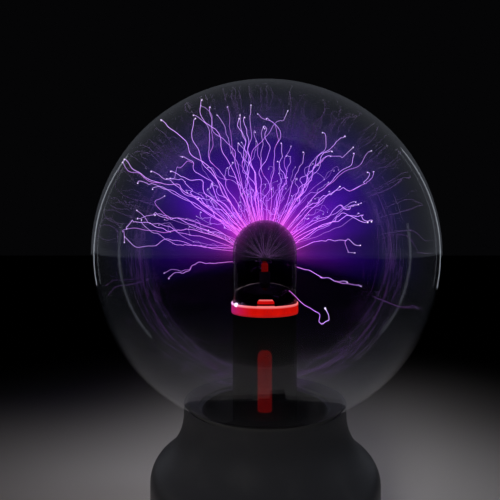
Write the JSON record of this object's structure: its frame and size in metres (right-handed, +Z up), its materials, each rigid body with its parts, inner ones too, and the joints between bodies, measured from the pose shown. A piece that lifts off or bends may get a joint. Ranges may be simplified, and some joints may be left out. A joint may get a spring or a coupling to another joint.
{
  "type": "plasma ball",
  "caption": "Clear glass globe with a dark dome-ended electrode pillar, red ring and fan of violet discharge filaments, on a round black base with a knob, a slide switch and a supply socket.",
  "frame": {"origin": "middle of the base on the table, at the feet's undersides", "axes": "+Z up along the globe's and pillar's common axis; -Y is the front, with the knob and switch"},
  "size_m": [0.206, 0.206, 0.2868],
  "materials": {
    "clear_glass": "clear, polished",
    "smoked_glass": "dark smoked, polished",
    "red_glass": "polished, lit from inside",
    "bright_metal": "drawn wire and turned rod",
    "red_bead": "glossy",
    "dark_ceramic": "fine matt",
    "black_gloss": "moulded, glossy",
    "red_silicone": "satin",
    "black_rubber": "matt",
    "base_plastic": "fine moulded grain",
    "knob_plastic": "satin moulded",
    "white_plastic": "fine moulded grain",
    "zinc_steel": "zinc plated",
    "circuit_board": "green solder mask",
    "ferrite": "pressed, matt",
    "moulded_black": "moulded resin",
    "copper_wire": "enamelled copper, wound",
    "aluminium": "extruded",
    "capacitor_sleeve": "shrunk film",
    "capacitor_red": "dipped resin",
    "resistor_body": "painted bands",
    "cable_grey": "flat insulated cable"
  },
  "bodies": {
    "stand": {"globe": "clear_glass", "pillar": "smoked_glass", "seal_off_stub": "clear_glass", "red_ring": "red_glass", "electrode_ball": "bright_metal", "electrode_wires": "bright_metal", "electrode_rod": "bright_metal", "red_bead": "red_bead", "ceramic_stem": "dark_ceramic", "shoulder_plug": "black_gloss", "red_sleeve": "red_silicone", "pillar_bung": "black_rubber", "base_shell": "base_plastic", "globe_gasket": "black_rubber", "neck_clamp": "base_plastic", "neck_clamp_screws": "zinc_steel", "base_cover": "base_plastic", "cover_screws": "zinc_steel", "rubber_feet": "black_rubber", "driver_board": "circuit_board", "board_screws": "zinc_steel", "transformer_core": "ferrite", "transformer_foot": "moulded_black", "transformer_bobbin": "moulded_black", "primary_winding": "copper_wire", "high_voltage_coil": "copper_wire", "core_clip": "zinc_steel", "high_voltage_lead": "red_silicone", "power_transistor": "moulded_black", "heat_sink": "aluminium", "transistor_screw": "zinc_steel", "electrolytic_capacitors": "capacitor_sleeve", "film_capacitors": "capacitor_red", "resistors": "resistor_body", "timer_chip": "moulded_black", "choke": "ferrite", "control_board": "circuit_board", "control_cable": "cable_grey", "cable_header": "white_plastic", "potentiometer": "zinc_steel", "potentiometer_nut": "zinc_steel", "mode_switch": "zinc_steel", "microphone": "zinc_steel", "supply_socket": "knob_plastic", "socket_nut": "zinc_steel", "socket_pin": "bright_metal", "supply_leads": "cable_grey"},
    "knob": {"intensity_knob": "knob_plastic", "knob_shaft": "bright_metal", "knob_pointer": "white_plastic"},
    "switch_slider": {"mode_slider": "white_plastic"}
  },
  "joints": [
    {"name": "knob_turn", "type": "hinge", "parent": "stand", "child": "knob", "pos_m": [0.012, -0.07, 0.026], "axis": [0, 1, 0], "range_deg": [-150, 150]},
    {"name": "switch_slide", "type": "slide", "parent": "stand", "child": "switch_slider", "axis": [1, 0, 0], "range_m": [-0.002, 0.002]}
  ]
}
